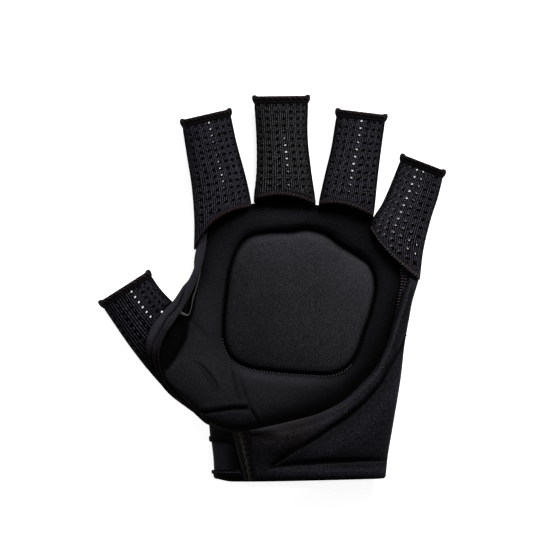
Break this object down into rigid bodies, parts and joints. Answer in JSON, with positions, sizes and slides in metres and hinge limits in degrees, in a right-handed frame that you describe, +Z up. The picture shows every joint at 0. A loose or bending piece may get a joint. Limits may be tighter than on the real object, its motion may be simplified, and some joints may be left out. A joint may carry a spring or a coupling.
{
  "type": "field hockey glove",
  "caption": "Open-palm, half-finger field hockey glove for the left hand, lying palm up, with a padded cupped back, mesh finger stalls and a fitted wrist band.",
  "frame": {"origin": "middle of the outline, on the surface that the glove lies on palm up", "axes": "+Y towards the fingertips, +Z up out of the open palm, thumb towards -X"},
  "size_m": [0.1768, 0.1971, 0.0255],
  "materials": {
    "palm_lining": "smooth matte knit over foam, near black",
    "wrist_cloth": "fine ribbed stretch cloth, near black, soft sheen",
    "stall_knit": "perforated rib knit, near black",
    "hem_thread": "overlocked black thread with a slight brown cast",
    "elastic_webbing": "woven elastic webbing, black"
  },
  "bodies": {
    "root": {"back_pad": "palm_lining", "centre_cushion": "palm_lining", "wrist_band": "wrist_cloth", "wrist_seam_tape": "wrist_cloth", "wrist_elastic": "elastic_webbing", "elastic_top_binding": "hem_thread", "elastic_bottom_binding": "hem_thread", "thumb_web_strip": "wrist_cloth", "side_overlock": "hem_thread", "index_stall": "stall_knit", "index_tip_hem": "hem_thread", "index_base_hem": "hem_thread", "middle_stall": "stall_knit", "middle_tip_hem": "hem_thread", "middle_base_hem": "hem_thread", "ring_stall": "stall_knit", "ring_tip_hem": "hem_thread", "ring_base_hem": "hem_thread", "little_stall": "stall_knit", "little_tip_hem": "hem_thread", "little_base_hem": "hem_thread", "thumb_stall": "stall_knit", "thumb_tip_hem": "hem_thread"}
  },
  "joints": []
}
